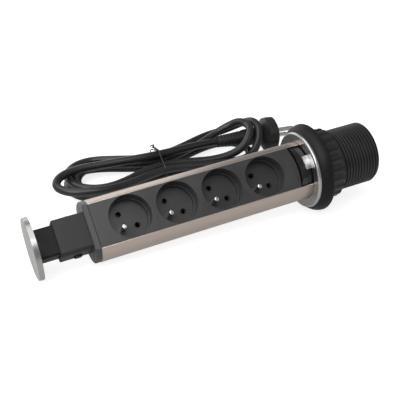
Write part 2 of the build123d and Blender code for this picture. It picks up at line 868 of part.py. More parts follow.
tangents = []
for number, point in enumerate(hank_route):
    if number == 0:
        tangents.append(start_tangent)
    elif number == len(hank_route) - 1:
        tangents.append(end_tangent)
    elif number < step_count:
        turn = first_turn + (last_turn - first_turn) * number / step_count
        tangents.append((hank_point(turn + nudge) - hank_point(turn - nudge)).normalized())
    else:
        before = point - hank_route[number - 1]
        after = hank_route[number + 1] - point
        mixed = before * (after.length / before.length) + after * (before.length / after.length)
        tangents.append(mixed.normalized())


def biarc_middle(p0, t0, p1, t1):
    v = p1 - p0
    t = t0 + t1
    spread = 1 - t0.dot(t1)
    if spread < 0.000001:
        d = v.dot(v) / (4 * v.dot(t1))
    else:
        d = (-v.dot(t) + sqrt(v.dot(t) ** 2 + 2 * spread * v.dot(v))) / (2 * spread)
    middle = (p0 + p1 + (t0 - t1) * d) / 2
    tangent = (middle - p0 - t0 * d).normalized()
    return middle, tangent


hank_start = hank_route[0]
with BuildLine() as hank_path:
    straight_start = hank_start - start_tangent * cord_diameter
    Line(straight_start, hank_start)
    for number in range(len(hank_route) - 1):
        a, b = hank_route[number], hank_route[number + 1]
        ta, tb = tangents[number], tangents[number + 1]
        middle, tm = biarc_middle(a, ta, b, tb)
        if abs(1 - ta.dot(tb)) < 0.0000001 and abs((b - a).normalized().dot(ta) - 1) < 0.0000001:
            Line(a, b)
        else:
            TangentArc(a, middle, tangent=ta)
            TangentArc(middle, b, tangent=tm)
    Line(tail_straight, plug_point)

hank_wire = hank_path.wire()
hank_length = hank_wire.length
with BuildPart() as hank:
    with BuildSketch(Plane(origin=straight_start, z_dir=start_tangent)):
        Circle(cord_radius)
    sweep(path=hank_wire)
hank.part.label = "cord_hank"
export_step(hank.part, "parts/cord_hank.step")

samples = [hank_wire.position_at(k / 700) for k in range(701)]
skip = int(3 * cord_diameter / (hank_length / 700)) + 1
least = min(
    (samples[i] - samples[j]).length for i in range(len(samples)) for j in range(i + skip, len(samples))
)
print("hank length", round(hank_length, 1), "least gap to itself", round(least - cord_diameter, 2))
print("hank volume share of section times length", round(hank.part.volume / (pi * cord_radius**2 * hank_length), 4))
print("lowest point of the hank", round(min(p.Z for p in samples) - cord_radius, 2))


# Free lead from the gland inside the sleeve, round behind the collar to the hank
lead_start = zero_point + axis_dir * gland_end
lead_first_run = 27.0
lead_places = [
    tuple(zero_point + axis_dir * (gland_end + lead_first_run)),
    (188.0, 19.0, 41.5),
    (194.5, 50.0, 33.0),
    (176.0, 75.5, 22.0),
    (143.0, 87.0, 11.0),
]
lead_last_run = 26.0
lead_route = [lead_start] + [Vector(*place) for place in lead_places]
lead_route += [straight_start - start_tangent * lead_last_run, straight_start]
radii = []
for number in range(1, len(lead_route) - 1):
    before = lead_route[number] - lead_route[number - 1]
    after = lead_route[number + 1] - lead_route[number]
    bend = radians(before.get_angle(after))
    radii.append(0.45 * min(before.length, after.length) / tan(bend / 2))
print("lead radii", [round(r, 1) for r in radii])
with BuildLine() as lead_path:
    FilletPolyline(*lead_route, radius=radii)
lead_wire = lead_path.wire()
with BuildPart() as lead:
    with BuildSketch(Plane(origin=lead_start, z_dir=lead_route[1] - lead_start)):
        Circle(cord_radius)
    sweep(path=lead_wire)
lead.part.label = "cord_lead"
export_step(lead.part, "parts/cord_lead.step")
print("lead length", round(lead_wire.length, 1))
print("lead volume share of section times length", round(lead.part.volume / (pi * cord_radius**2 * lead_wire.length), 4))


# Twist tie round the waist of the hank
tie_width = 3.5
tie_thickness = 1.2
tie_gap = 0.4
tie_tail = 12.0
tie_tail_radius = 1.0
tie_half = waist_half + cord_radius + 3 * tie_gap
tie_inner_top = crossing_height + cord_radius + tie_gap
tie_shoulder = waist_lift + layer_rise + cord_diameter + 2 * tie_gap
with BuildPart() as tie:
    with BuildSketch(Plane(origin=(hank_waist - tie_width / 2, waist_middle, 0), x_dir=(0, 1, 0), z_dir=(1, 0, 0))):
        with BuildLine():
            Polyline(
                (-tie_half - tie_thickness, cord_rest),
                (tie_half + tie_thickness, cord_rest),
                (tie_half + tie_thickness, tie_shoulder),
                (cord_diameter, tie_inner_top + tie_thickness),
                (-cord_diameter, tie_inner_top + tie_thickness),
                (-tie_half - tie_thickness, tie_shoulder),
                close=True,
            )
        make_face()
        with BuildLine():
            Polyline(
                (-tie_half, cord_rest + tie_thickness),
                (tie_half, cord_rest + tie_thickness),
                (tie_half, tie_shoulder - tie_thickness / 2),
                (cord_diameter - tie_thickness / 2, tie_inner_top),
                (tie_thickness / 2 - cord_diameter, tie_inner_top),
                (-tie_half, tie_shoulder - tie_thickness / 2),
                close=True,
            )
        make_face(mode=Mode.SUBTRACT)
    extrude(amount=tie_width)
    tail_foot = Vector(hank_waist, waist_middle + cord_diameter, tie_inner_top + tie_thickness / 2)
    with BuildSketch(Plane(origin=tail_foot, z_dir=(0.2, 0.75, 0.6))):
        Circle(tie_tail_radius)
    extrude(amount=tie_tail)
tie.part.label = "twist_tie"
export_step(tie.part, "parts/twist_tie.step")

print("lean in degrees", round(degrees(lean), 3), "zero point", zero_point)
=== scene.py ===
# %% [markdown]
# A pop up desk socket lies on a pale table. Its tower is drawn out of the clamp collar, so the
# four sockets show along the tower's flat face. The solid model is loaded first and stays as it is.
# Every piece made below either dresses one of its solids with a finish or stands in for one.

# %% Load the solid model
import math
import bmesh
import bpy
from mathutils import Matrix, Vector


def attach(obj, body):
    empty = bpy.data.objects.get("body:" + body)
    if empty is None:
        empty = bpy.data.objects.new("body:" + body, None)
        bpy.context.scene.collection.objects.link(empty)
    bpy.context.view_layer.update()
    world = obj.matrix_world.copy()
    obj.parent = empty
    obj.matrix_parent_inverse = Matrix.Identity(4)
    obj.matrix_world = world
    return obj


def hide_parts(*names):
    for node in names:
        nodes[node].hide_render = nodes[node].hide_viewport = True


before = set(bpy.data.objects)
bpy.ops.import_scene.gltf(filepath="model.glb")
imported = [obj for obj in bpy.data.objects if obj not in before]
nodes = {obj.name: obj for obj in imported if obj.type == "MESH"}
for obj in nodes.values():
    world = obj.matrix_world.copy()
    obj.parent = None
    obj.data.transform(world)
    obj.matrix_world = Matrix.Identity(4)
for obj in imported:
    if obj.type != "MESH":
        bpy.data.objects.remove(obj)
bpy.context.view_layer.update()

# %% [markdown]
# The tower leans a little, because its small cap and its large bezel both touch the table, and it
# has rolled so that the sockets look up towards the viewer. These directions are worked out once.
# "along" runs down the tower, "across" lies in the socket face and "out" points out of that face.

# %% Directions of the tower
MM = 0.001
bezel_radius, bezel_station = 42.5, 186.4
cap_radius, cap_face, cap_back = 27.5, -86.7, -81.9
sleeve_end, sleeve_end_radius = 245.3, 29.0
lean = math.atan((bezel_radius - cap_radius) / (bezel_station - cap_back))
roll = math.radians(46.5)
along = Vector((math.cos(lean), 0, math.sin(lean)))
upward = Vector((-math.sin(lean), 0, math.cos(lean)))
across = upward * math.cos(roll) + Vector((0, math.sin(roll), 0))
out = upward * math.sin(roll) - Vector((0, math.cos(roll), 0))
axis_height = bezel_radius * math.cos(lean) - bezel_station * math.sin(lean)
left_x = cap_face * math.cos(lean) - cap_radius * math.sin(lean)
right_x = sleeve_end * math.cos(lean) + sleeve_end_radius * math.sin(lean)
socket_centre = Vector((-(left_x + right_x) / 2, 0, axis_height)) * MM
tower_turn = Matrix((along, across, out)).transposed().to_euler()


def at(station, side=0.0, height=0.0):
    """A place given by its station along the tower, in millimetres."""
    return socket_centre + (along * station + across * side + out * height) * MM


def at_rest_matrix(station, side=0.0, height=0.0):
    """Moves a piece drawn at the world's centre, with X along the tower, to its station."""
    return Matrix.Translation(at(station, side, height)) @ tower_turn.to_matrix().to_4x4()


print("first socket's centre", [round(v, 4) for v in socket_centre])

# %% [markdown]
# The camera stands where the photographer stood: to the left, above, with a lens of about 65 mm on
# a full frame. Its place was worked out from the socket wells, whose real size is known.

# %% Camera
camera_offset = Vector((-159.49, -502.64, 352.33)) * MM
camera_dip, camera_heading = 32.27, -24.58
camera_data = bpy.data.cameras.new("studio_camera")
camera_data.lens = 64.76
camera_data.sensor_width = 36.0
camera = bpy.data.objects.new("studio_camera", camera_data)
camera.location = socket_centre + camera_offset
camera.rotation_euler = (math.radians(90 - camera_dip), 0, math.radians(camera_heading))
bpy.context.scene.collection.objects.link(camera)
bpy.context.scene.camera = camera
bpy.context.scene.view_settings.view_transform = "Standard"
print("camera at", [round(v, 3) for v in camera.location])

# %% [markdown]
# A product shot like this has a white ground. The floor is a large pale sheet that glows a little,
# so that it looks white and still takes a soft shadow. The world is white to the camera and dimmer
# to everything that it lights or is mirrored in.

# %% Floor and background
floor_size, floor_drop = 6.0, 0.0004
floor_tone = 0.45
glow_seen, glow_mirrored = 0.80, 0.22
world_seen, world_lighting = 1.0, 0.26
bpy.ops.object.select_all(action="DESELECT")
bpy.ops.mesh.primitive_plane_add(size=floor_size, location=(0, 0, -floor_drop))
floor = bpy.context.object
floor.name = "floor_sheet"
floor_material = bpy.data.materials.new("pale_floor")
floor_material.use_nodes = True
tree = floor_material.node_tree
tree.nodes.clear()
surface = tree.nodes.new("ShaderNodeOutputMaterial")
diffuse = tree.nodes.new("ShaderNodeBsdfDiffuse")
diffuse.inputs["Color"].default_value = (floor_tone, floor_tone, floor_tone, 1)
glow = tree.nodes.new("ShaderNodeEmission")
light_path = tree.nodes.new("ShaderNodeLightPath")
to_camera = tree.nodes.new("ShaderNodeMath")
to_camera.operation = "MULTIPLY"
to_camera.inputs[1].default_value = glow_seen
to_gloss = tree.nodes.new("ShaderNodeMath")
to_gloss.operation = "MULTIPLY_ADD"
to_gloss.inputs[1].default_value = glow_mirrored
both = tree.nodes.new("ShaderNodeAddShader")
tree.links.new(light_path.outputs["Is Camera Ray"], to_camera.inputs[0])
tree.links.new(light_path.outputs["Is Glossy Ray"], to_gloss.inputs[0])
tree.links.new(to_camera.outputs[0], to_gloss.inputs[2])
tree.links.new(to_gloss.outputs[0], glow.inputs["Strength"])
tree.links.new(diffuse.outputs[0], both.inputs[0])
tree.links.new(glow.outputs[0], both.inputs[1])
tree.links.new(both.outputs[0], surface.inputs["Surface"])
floor.data.materials.append(floor_material)

world = bpy.data.worlds.new("white_studio")
bpy.context.scene.world = world
world.use_nodes = True
tree = world.node_tree
background = tree.nodes["Background"]
background.inputs["Color"].default_value = (1, 1, 1, 1)
light_path = tree.nodes.new("ShaderNodeLightPath")
seen = tree.nodes.new("ShaderNodeMath")
seen.operation = "MAXIMUM"
tree.links.new(light_path.outputs["Is Camera Ray"], seen.inputs[0])
tree.links.new(light_path.outputs["Is Transmission Ray"], seen.inputs[1])
level = tree.nodes.new("ShaderNodeMapRange")
level.inputs["To Min"].default_value = world_lighting
level.inputs["To Max"].default_value = world_seen
tree.links.new(seen.outputs[0], level.inputs["Value"])
tree.links.new(level.outputs["Result"], background.inputs["Strength"])

# %% [markdown]
# Soft lamps, as in a light tent: a broad one overhead, a key from the viewer's left, a small one
# above the viewer whose reflection fades along the tower's face, a weak fill from the right and a
# pale backdrop. They are kept plain so that each colour renders about as it is written.

# %% Soft studio lamps
def soft_lamp(name, place, target, size, power):
    """A rectangular lamp of a size in metres that looks from its place at a target."""
    lamp_data = bpy.data.lights.new(name, "AREA")
    lamp_data.shape = "RECTANGLE"
    lamp_data.size = size[0]
    lamp_data.size_y = size[1]
    lamp_data.energy = power
    lamp = bpy.data.objects.new(name, lamp_data)
    lamp.location = place
    lamp.rotation_euler = (Vector(target) - Vector(place)).to_track_quat("-Z", "Y").to_euler()
    bpy.context.scene.collection.objects.link(lamp)


soft_lamp("overhead", (-0.6, 0.1, 1.1), (-0.12, 0.05, 0), (1.7, 1.5), 15)
soft_lamp("key_left", (-0.9, -0.7, 0.9), (0, 0, 0.03), (0.7, 0.7), 7)
soft_lamp("front_top", (-0.12, -0.6, 0.98), (-0.12, 0, 0.04), (0.34, 0.3), 1.5)
soft_lamp("fill_right", (1.0, -0.8, 0.6), (0.05, 0, 0.03), (0.7, 0.7), 1)
soft_lamp("backdrop", (-0.25, 1.15, 0.32), (-0.1, 0, 0.1), (1.3, 0.6), 3.2)

# %% [markdown]
# Effects that several finishes share are built once as node groups. The first is the fine grain of
# moulded plastic with the slow changes of tone that handling and dust leave. The second is the fine
# parallel lines of brushed metal with broader streaks between them.

# %% Shared effects
mottle_share = 0.03
broad_share = 0.08


def new_group(name, numbers, outputs):
    """An empty node group that takes a vector and some numbers, with its two end nodes."""
    group = bpy.data.node_groups.new(name, "ShaderNodeTree")
    group.interface.new_socket("Vector", in_out="INPUT", socket_type="NodeSocketVector")
    for title, value in numbers:
        socket = group.interface.new_socket(title, in_out="INPUT", socket_type="NodeSocketFloat")
        socket.default_value = value
    for title in outputs:
        group.interface.new_socket(title, in_out="OUTPUT", socket_type="NodeSocketFloat")
    return group, group.nodes.new("NodeGroupInput"), group.nodes.new("NodeGroupOutput")


grain_group, entry, leave = new_group("moulded_grain", [("Scale", 1800.0)], ["Grain", "Mottle"])
fine = grain_group.nodes.new("ShaderNodeTexNoise")
fine.inputs["Detail"].default_value = 3.0
coarse = grain_group.nodes.new("ShaderNodeTexNoise")
coarse.inputs["Detail"].default_value = 4.0
shrink = grain_group.nodes.new("ShaderNodeMath")
shrink.operation = "MULTIPLY"
shrink.inputs[1].default_value = mottle_share
for noise in (fine, coarse):
    grain_group.links.new(entry.outputs["Vector"], noise.inputs["Vector"])
grain_group.links.new(entry.outputs["Scale"], fine.inputs["Scale"])
grain_group.links.new(entry.outputs["Scale"], shrink.inputs[0])
grain_group.links.new(shrink.outputs[0], coarse.inputs["Scale"])
grain_group.links.new(fine.outputs["Fac"], leave.inputs["Grain"])
grain_group.links.new(coarse.outputs["Fac"], leave.inputs["Mottle"])

brush_group, entry, leave = new_group(
    "brushed_lines", [("Fineness", 5200.0), ("Stretch", 0.012)], ["Lines", "Broad"]
)
split = brush_group.nodes.new("ShaderNodeSeparateXYZ")
squeeze = brush_group.nodes.new("ShaderNodeMath")
squeeze.operation = "MULTIPLY"
join = brush_group.nodes.new("ShaderNodeCombineXYZ")
lines = brush_group.nodes.new("ShaderNodeTexNoise")
lines.inputs["Detail"].default_value = 4.0
lines.inputs["Roughness"].default_value = 0.65
broad = brush_group.nodes.new("ShaderNodeTexNoise")
broad.inputs["Detail"].default_value = 2.0
coarser = brush_group.nodes.new("ShaderNodeMath")
coarser.operation = "MULTIPLY"
coarser.inputs[1].default_value = broad_share
brush_group.links.new(entry.outputs["Vector"], split.inputs[0])
brush_group.links.new(split.outputs["X"], squeeze.inputs[0])
brush_group.links.new(entry.outputs["Stretch"], squeeze.inputs[1])
brush_group.links.new(squeeze.outputs[0], join.inputs["X"])
brush_group.links.new(split.outputs["Y"], join.inputs["Y"])
brush_group.links.new(split.outputs["Z"], join.inputs["Z"])
brush_group.links.new(entry.outputs["Fineness"], coarser.inputs[0])
for noise, scale in ((lines, entry.outputs["Fineness"]), (broad, coarser.outputs[0])):
    brush_group.links.new(join.outputs[0], noise.inputs["Vector"])
    brush_group.links.new(scale, noise.inputs["Scale"])
brush_group.links.new(lines.outputs["Fac"], leave.inputs["Lines"])
brush_group.links.new(broad.outputs["Fac"], leave.inputs["Broad"])
print("groups", [g.name for g in bpy.data.node_groups])

# %% [markdown]
# Every finish starts from the same recipe: a principled surface, a pattern in the tower's own
# directions, two close tones mixed by the slow mottle, and a very shallow bump. Moulded plastics
# and rubbers differ only in tone, gloss and how coarse their grain is.

# %% Recipe for moulded finishes
mask_low, mask_high = 0.3, 0.7
grain_depth = 0.00003


def tower_vector(tree):
    """Coordinates in the tower's own directions, with X along it."""
    where = tree.nodes.new("ShaderNodeTexCoord")
    turn = tree.nodes.new("ShaderNodeMapping")
    turn.vector_type = "TEXTURE"
    turn.inputs["Location"].default_value = socket_centre
    turn.inputs["Rotation"].default_value = tower_turn
    tree.links.new(where.outputs["Object"], turn.inputs["Vector"])
    return turn.outputs["Vector"]


def tone_mix(tree, mask, dark, light):
    """Two close tones, mixed by the mask."""
    ramp = tree.nodes.new("ShaderNodeValToRGB")
    ramp.color_ramp.elements[0].position = mask_low
    ramp.color_ramp.elements[0].color = (*dark, 1)
    ramp.color_ramp.elements[1].position = mask_high
    ramp.color_ramp.elements[1].color = (*light, 1)
    tree.links.new(mask, ramp.inputs["Fac"])
    return ramp.outputs["Color"]


def span(tree, mask, low, high):
    """A number between two limits, led by the mask."""
    reach = tree.nodes.new("ShaderNodeMapRange")
    reach.inputs["From Min"].default_value = mask_low
    reach.inputs["From Max"].default_value = mask_high
    reach.inputs["To Min"].default_value = low
    reach.inputs["To Max"].default_value = high
    tree.links.new(mask, reach.inputs["Value"])
    return reach.outputs["Result"]


def groove_shade(tree, vector, colour, inner, outer, shade):
    """Darkens the colour towards the inner radius: painted shade at the foot of a thread or flute.
    """
    # Painted shade: the colour is scaled down by the distance from the tower's axis.
    across_axis = tree.nodes.new("ShaderNodeVectorMath")
    across_axis.operation = "MULTIPLY"
    across_axis.inputs[1].default_value = (0, 1, 1)
    radius = tree.nodes.new("ShaderNodeVectorMath")
    radius.operation = "LENGTH"
    reach = tree.nodes.new("ShaderNodeMapRange")
    reach.inputs["From Min"].default_value = inner * MM
    reach.inputs["From Max"].default_value = outer * MM
    reach.inputs["To Min"].default_value = shade
    darker = tree.nodes.new("ShaderNodeVectorMath")
    darker.operation = "SCALE"
    tree.links.new(vector, across_axis.inputs[0])
    tree.links.new(across_axis.outputs["Vector"], radius.inputs[0])
    tree.links.new(radius.outputs["Value"], reach.inputs["Value"])
    tree.links.new(colour, darker.inputs[0])
    tree.links.new(reach.outputs["Result"], darker.inputs["Scale"])
    return darker.outputs["Vector"]


def moulded(name, dark, light, gloss, grain=1800.0, level=0.5, coat=0.0, groove=None):
    """A plastic or rubber. It takes two tones and the least and greatest roughness, and a groove's
    inner and outer radius with the share of colour left at its foot as painted shade."""
    material = bpy.data.materials.new(name)
    material.use_nodes = True
    tree = material.node_tree
    shader = tree.nodes["Principled BSDF"]
    shader.inputs["Specular IOR Level"].default_value = level
    shader.inputs["Coat Weight"].default_value = coat
    shader.inputs["Coat Roughness"].default_value = 0.08
    effect = tree.nodes.new("ShaderNodeGroup")
    effect.node_tree = grain_group
    effect.inputs["Scale"].default_value = grain
    vector = tower_vector(tree)
    tree.links.new(vector, effect.inputs["Vector"])
    colour = tone_mix(tree, effect.outputs["Mottle"], dark, light)
    # Painted shade: grooves are darkened towards their foot.
    if groove:
        colour = groove_shade(tree, vector, colour, *groove)
    tree.links.new(colour, shader.inputs["Base Color"])
    roughness = span(tree, effect.outputs["Mottle"], *gloss)
    tree.links.new(roughness, shader.inputs["Roughness"])
    bump = tree.nodes.new("ShaderNodeBump")
    bump.inputs["Strength"].default_value = 0.5
    bump.inputs["Distance"].default_value = grain_depth
    tree.links.new(effect.outputs["Grain"], bump.inputs["Height"])
    tree.links.new(bump.outputs["Normal"], shader.inputs["Normal"])
    return material


socket_plastic = moulded(
    "socket_plastic_grey", (0.028, 0.028, 0.030), (0.036, 0.036, 0.038), (0.34, 0.44)
)
plate_plastic = moulded(
    "plate_plastic_grey", (0.040, 0.040, 0.043), (0.050, 0.050, 0.053), (0.36, 0.48)
)
neck_plastic = moulded(
    "neck_plastic_grey", (0.013, 0.013, 0.014), (0.019, 0.019, 0.020), (0.44, 0.56), level=0.4
)
gloss_black = moulded(
    "gloss_black", (0.006, 0.006, 0.006), (0.010, 0.010, 0.010), (0.12, 0.20), coat=0.3
)
stem_plastic = moulded(
    "stem_plastic_black", (0.004, 0.004, 0.005), (0.007, 0.007, 0.008), (0.38, 0.50), level=0.2
)
bezel_rubber = moulded(
    "bezel_rubber",
    (0.005, 0.005, 0.006), (0.008, 0.008, 0.009), (0.40, 0.52),
    grain=1400.0, level=0.2,
)
# The thread's root is darkened with painted shade, down to 0.15 of its colour.
thread_plastic = moulded(
    "thread_plastic",
    (0.016, 0.015, 0.015), (0.026, 0.024, 0.024), (0.30, 0.42),
    level=0.4, groove=(28.7, 29.5, 0.15),
)
# The nut's flutes are darkened with painted shade, down to 0.4 of its colour.
nut_plastic = moulded(
    "nut_plastic",
    (0.014, 0.012, 0.011), (0.022, 0.019, 0.018), (0.26, 0.36),
    groove=(31.6, 33.6, 0.4),
)
cord_rubber = moulded(
    "cord_rubber", (0.009, 0.009, 0.010), (0.015, 0.015, 0.016), (0.26, 0.36), grain=1500.0
)
plug_rubber = moulded(
    "plug_rubber", (0.011, 0.010, 0.010), (0.018, 0.017, 0.016), (0.34, 0.46), grain=1500.0
)
print("moulded finishes ready")

# %% [markdown]
# Brushed metal is told by its lines: they run along the extruded tower and across the cap and the
# ring. The lines change the tone and the roughness a little and give a faint bump.

# %% Recipe for metals
line_stretch = 0.012
line_depth = 0.00002


def metal(name, dark, light, gloss, fineness=5200.0, turned=False):
    """A brushed metal. Its lines run along the tower, or across it where they are turned."""
    material = bpy.data.materials.new(name)
    material.use_nodes = True
    tree = material.node_tree
    shader = tree.nodes["Principled BSDF"]
    shader.inputs["Metallic"].default_value = 1.0
    effect = tree.nodes.new("ShaderNodeGroup")
    effect.node_tree = brush_group
    effect.inputs["Fineness"].default_value = fineness
    effect.inputs["Stretch"].default_value = line_stretch
    vector = tower_vector(tree)
    if turned:
        quarter = tree.nodes.new("ShaderNodeMapping")
        quarter.inputs["Rotation"].default_value = (0, 0, math.radians(90))
        tree.links.new(vector, quarter.inputs["Vector"])
        vector = quarter.outputs["Vector"]
    tree.links.new(vector, effect.inputs["Vector"])
    colour = tone_mix(tree, effect.outputs["Lines"], dark, light)
    tree.links.new(colour, shader.inputs["Base Color"])
    roughness = span(tree, effect.outputs["Lines"], *gloss)
    tree.links.new(roughness, shader.inputs["Roughness"])
    bump = tree.nodes.new("ShaderNodeBump")
    bump.inputs["Strength"].default_value = 0.4
    bump.inputs["Distance"].default_value = line_depth
    tree.links.new(effect.outputs["Lines"], bump.inputs["Height"])
    tree.links.new(bump.outputs["Normal"], shader.inputs["Normal"])
    return material


champagne_aluminium = metal(
    "champagne_aluminium", (0.46, 0.385, 0.34), (0.58, 0.50, 0.45), (0.30, 0.40)
)
brushed_steel = metal(
    "brushed_steel", (0.42, 0.42, 0.41), (0.54, 0.54, 0.53), (0.24, 0.34), turned=True
)
spring_steel = metal("spring_steel", (0.46, 0.46, 0.46), (0.56, 0.56, 0.56), (0.22, 0.32))
cap_steel = metal("cap_steel", (0.34, 0.34, 0.33), (0.46, 0.45, 0.44), (0.30, 0.40), turned=True)
bright_nickel = metal(
    "bright_nickel", (0.74, 0.71, 0.66), (0.82, 0.79, 0.74), (0.12, 0.20), fineness=2600.0
)
dull_brass = metal(
    "dull_brass", (0.50, 0.36, 0.16), (0.60, 0.45, 0.22), (0.30, 0.42), fineness=2600.0
)
print("metals ready")

# %% [markdown]
# Each solid gets its finish. The tower's inside takes the same plastics and metals as its outside.

# %% Dress the solids
def dress(names, material):
    """Gives the named solids one finish."""
    for name in names:
        nodes[name].data.materials.clear()
        nodes[name].data.materials.append(material)


dress(["housing_extrusion"], champagne_aluminium)
dress(["flange_ring"], brushed_steel)
dress(["cap_disc"], cap_steel)
dress(["socket_module_1", "socket_module_2", "socket_module_3", "socket_module_4"], socket_plastic)
dress(["earth_pin_1", "earth_pin_2", "earth_pin_3", "earth_pin_4"], bright_nickel)
dress(["plug_pin_1", "plug_pin_2", "plug_earth_clip_upper", "plug_earth_clip_lower"], bright_nickel)
dress(["spring_catch"], spring_steel)
dress(["busbar_live", "busbar_neutral", "busbar_earth"], dull_brass)
dress(["contact_carrier", "terminal_block", "cord_gland"], socket_plastic)
dress(["end_plate"], plate_plastic)
dress(["neck_housing", "release_button_upper", "release_button_lower"], neck_plastic)
dress(["latch_block", "bottom_cap"], gloss_black)
dress(["cap_stem"], stem_plastic)
dress(["bezel_flange"], bezel_rubber)
dress(["clamp_washer", "clamp_nut"], nut_plastic)
dress(["plug_body", "plug_strain_relief"], plug_rubber)
dress(["twist_tie"], gloss_black)
print("dressed", len(nodes), "solids")

# %% [markdown]
# The mains lead is one round cable of 8.5 mm. It leaves the gland inside the sleeve, turns round
# behind the collar and is folded into a hank: loops with two round lobes, drawn in at the waist by
# a wire tie, spiralling in on the table and out again on top. The last length turns back at the far
# left and crosses over the top to the plug. A NURBS spline through the route's points gives it the
# even bend of a real cable.

# %% Route of the mains lead
cord_radius = 4.25
end_run = 8.5
plug_yaw = math.radians(-5.0)
plug_drop, plug_length = 0.9, 68.0
plug_dip = math.asin(plug_drop / plug_length)
plug_dir = Vector(
    (
        math.cos(plug_yaw) * math.cos(plug_dip),
        math.sin(plug_yaw) * math.cos(plug_dip),
        -math.sin(plug_dip),
    )
)
plug_tail = Vector((67.9, 123.0, 19.6))


# The hank, in millimetres: its turns are counted from the right lobe's tip.
first_turn, top_turn, last_turn = 0.115, 1.55, 3.30
climb_start, climb_stop = 1.38, 1.72
layer_height = 9.3
turn_spacing, first_spacing = 10.1, 0.30
right_lobe, right_lobe_x = 37, 80
left_lobe, left_lobe_x = 38, -70
waist, waist_x = 18, -5
straight = right_lobe_x - left_lobe_x
right_quarter = math.pi * right_lobe / 2
half_loop = right_quarter + straight + math.pi * left_lobe / 2
middle_y, waist_shift, waist_shift_reach = 121, 6, 60
waist_lift, waist_lift_reach = 1.7, 30
hump_height, hump_start, hump_stop = 20.6, 54, 96
hump_inner = 10
table_gap = 0.05
hank_steps = 90


def ease(value, low, high):
    """Goes smoothly from 0 at the low value to 1 at the high one."""
    share = min(1.0, max(0.0, (value - low) / (high - low)))
    return (1 - math.cos(math.pi * share)) / 2


def loop_offset(turn):
    """How far a turn lies inside the outermost: inwards on the table, outwards again on top."""
    peak = first_spacing + (top_turn - first_turn)
    return turn_spacing * min(first_spacing + (turn - first_turn), peak - (turn - top_turn))


def hank_place(turn):
    """The cord's centre after a number of turns of the hank."""
    offset = loop_offset(turn)
    layer = ease(turn, climb_start, climb_stop)
    whole = turn % 1
    near = whole < 0.5
    run = (whole if near else 1 - whole) * 2 * half_loop
    if run < right_quarter:
        x = right_lobe_x + (right_lobe - offset) * math.cos(run / right_lobe)
        reach = (right_lobe - offset) * math.sin(run / right_lobe)
    elif run < right_quarter + straight:
        x = right_lobe_x - (run - right_quarter)
        if x < waist_x:
            lobe, share = left_lobe, ease(x, left_lobe_x, waist_x)
        else:
            lobe, share = right_lobe, 1 - ease(x, waist_x, right_lobe_x)
        reach = lobe + (waist - lobe) * share - offset
    else:
        angle = (run - right_quarter - straight) / left_lobe
        x = left_lobe_x - (left_lobe - offset) * math.sin(angle)
        reach = (left_lobe - offset) * math.cos(angle)
    middle = middle_y - waist_shift * math.exp(-(((x - waist_x) / waist_shift_reach) ** 2))
    lift = waist_lift * math.exp(-(((x - waist_x) / waist_lift_reach) ** 2))
    inwards = 1 - ease(reach, hump_inner, right_lobe)
    hump = hump_height * ease(x, hump_start, hump_stop) * inwards * layer
    height = table_gap + cord_radius + lift + layer * layer_height + hump
    return Vector((x, middle - reach if near else middle + reach, height))


def turning(turn):
    """The cord's direction in the hank."""
    return (hank_place(turn + 0.002) - hank_place(turn)).normalized()


hank_first = hank_place(first_turn) - turning(first_turn) * end_run
lead_places = [
    at(213.0) / MM,
    at(240.0) / MM,
    Vector((188.0, 19.0, 41.5)),
    Vector((194.5, 50.0, 33.0)),
    Vector((176.0, 75.5, 22.0)),
    Vector((143.0, 87.0, 11.0)),
    hank_first - turning(first_turn) * 26.0,
    hank_first,
]
hank_places = [
    hank_place(first_turn + (last_turn - first_turn) * step / hank_steps)
    for step in range(hank_steps + 1)
]
last_places = [
    Vector((-38.0, 88.3, 15.2)),
    Vector((-60.0, 81.6, 16.5)),
    Vector((-88.0, 83.0, 17.5)),
    Vector((-107.0, 90.5, 17.5)),
    Vector((-117.0, 103.5, 18.5)),
    Vector((-111.0, 116.5, 21.3)),
    Vector((-92.0, 122.5, 22.9)),
    Vector((-60.0, 120.5, 22.9)),
    Vector((-22.0, 115.5, 24.0)),
    Vector((8.0, 114.5, 24.4)),
    Vector((38.0, 119.0, 22.8)),
    plug_tail - plug_dir * end_run,
    plug_tail,
]
cord_route = lead_places + hank_places + last_places
print("route points", len(cord_route))

# %% [markdown]
# The lead is a curve with a round bevel. It stands in for both solids of the cord and rides with
# the tower. The tie below is drawn with the same function.

# %% Mains lead
def add_spline(curve, places, resolution):
    """Adds a smooth line through the places, given in millimetres, to a curve."""
    spline = curve.splines.new("NURBS")
    spline.points.add(len(places) - 1)
    for point, place in zip(spline.points, places):
        point.co = (*(place * MM), 1)
    spline.order_u = 3
    spline.use_endpoint_u = True
    spline.resolution_u = resolution


def spline_curve(name, places, radius):
    """A round cable or wire of a radius in millimetres."""
    curve = bpy.data.curves.new(name, "CURVE")
    curve.dimensions = "3D"
    add_spline(curve, places, 6)
    curve.bevel_depth = radius * MM
    curve.bevel_resolution = 5
    curve.use_fill_caps = True
    piece = bpy.data.objects.new(name, curve)
    bpy.context.scene.collection.objects.link(piece)
    return piece


mains_cord = spline_curve("mains_cord", cord_route, cord_radius)
mains_cord.data.materials.append(cord_rubber)
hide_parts("cord_lead", "cord_hank")
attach(mains_cord, "tower")
print("mains lead drawn")

# %% [markdown]
# The sleeve carries a coarse moulded thread of 3.2 mm pitch. Its tooth is drawn once for every turn
# as a zigzag line, and the Screw modifier sweeps that line once round while it climbs one pitch, so
# the turns run into each other as one helix. Both ends are cut square and closed down to the bore.

# %% Threaded sleeve
def profile_object(name, places):
    """An open line of points in the plane of the tower's axis (X) and its radius (Z)."""
    mesh = bpy.data.meshes.new(name)
    edges = [(k, k + 1) for k in range(len(places) - 1)]
    mesh.from_pydata([(x * MM, 0, z * MM) for x, z in places], edges, [])
    piece = bpy.data.objects.new(name, mesh)
    bpy.context.scene.collection.objects.link(piece)
    bpy.ops.object.select_all(action="DESELECT")
    piece.select_set(True)
    bpy.context.view_layer.objects.active = piece
    return piece


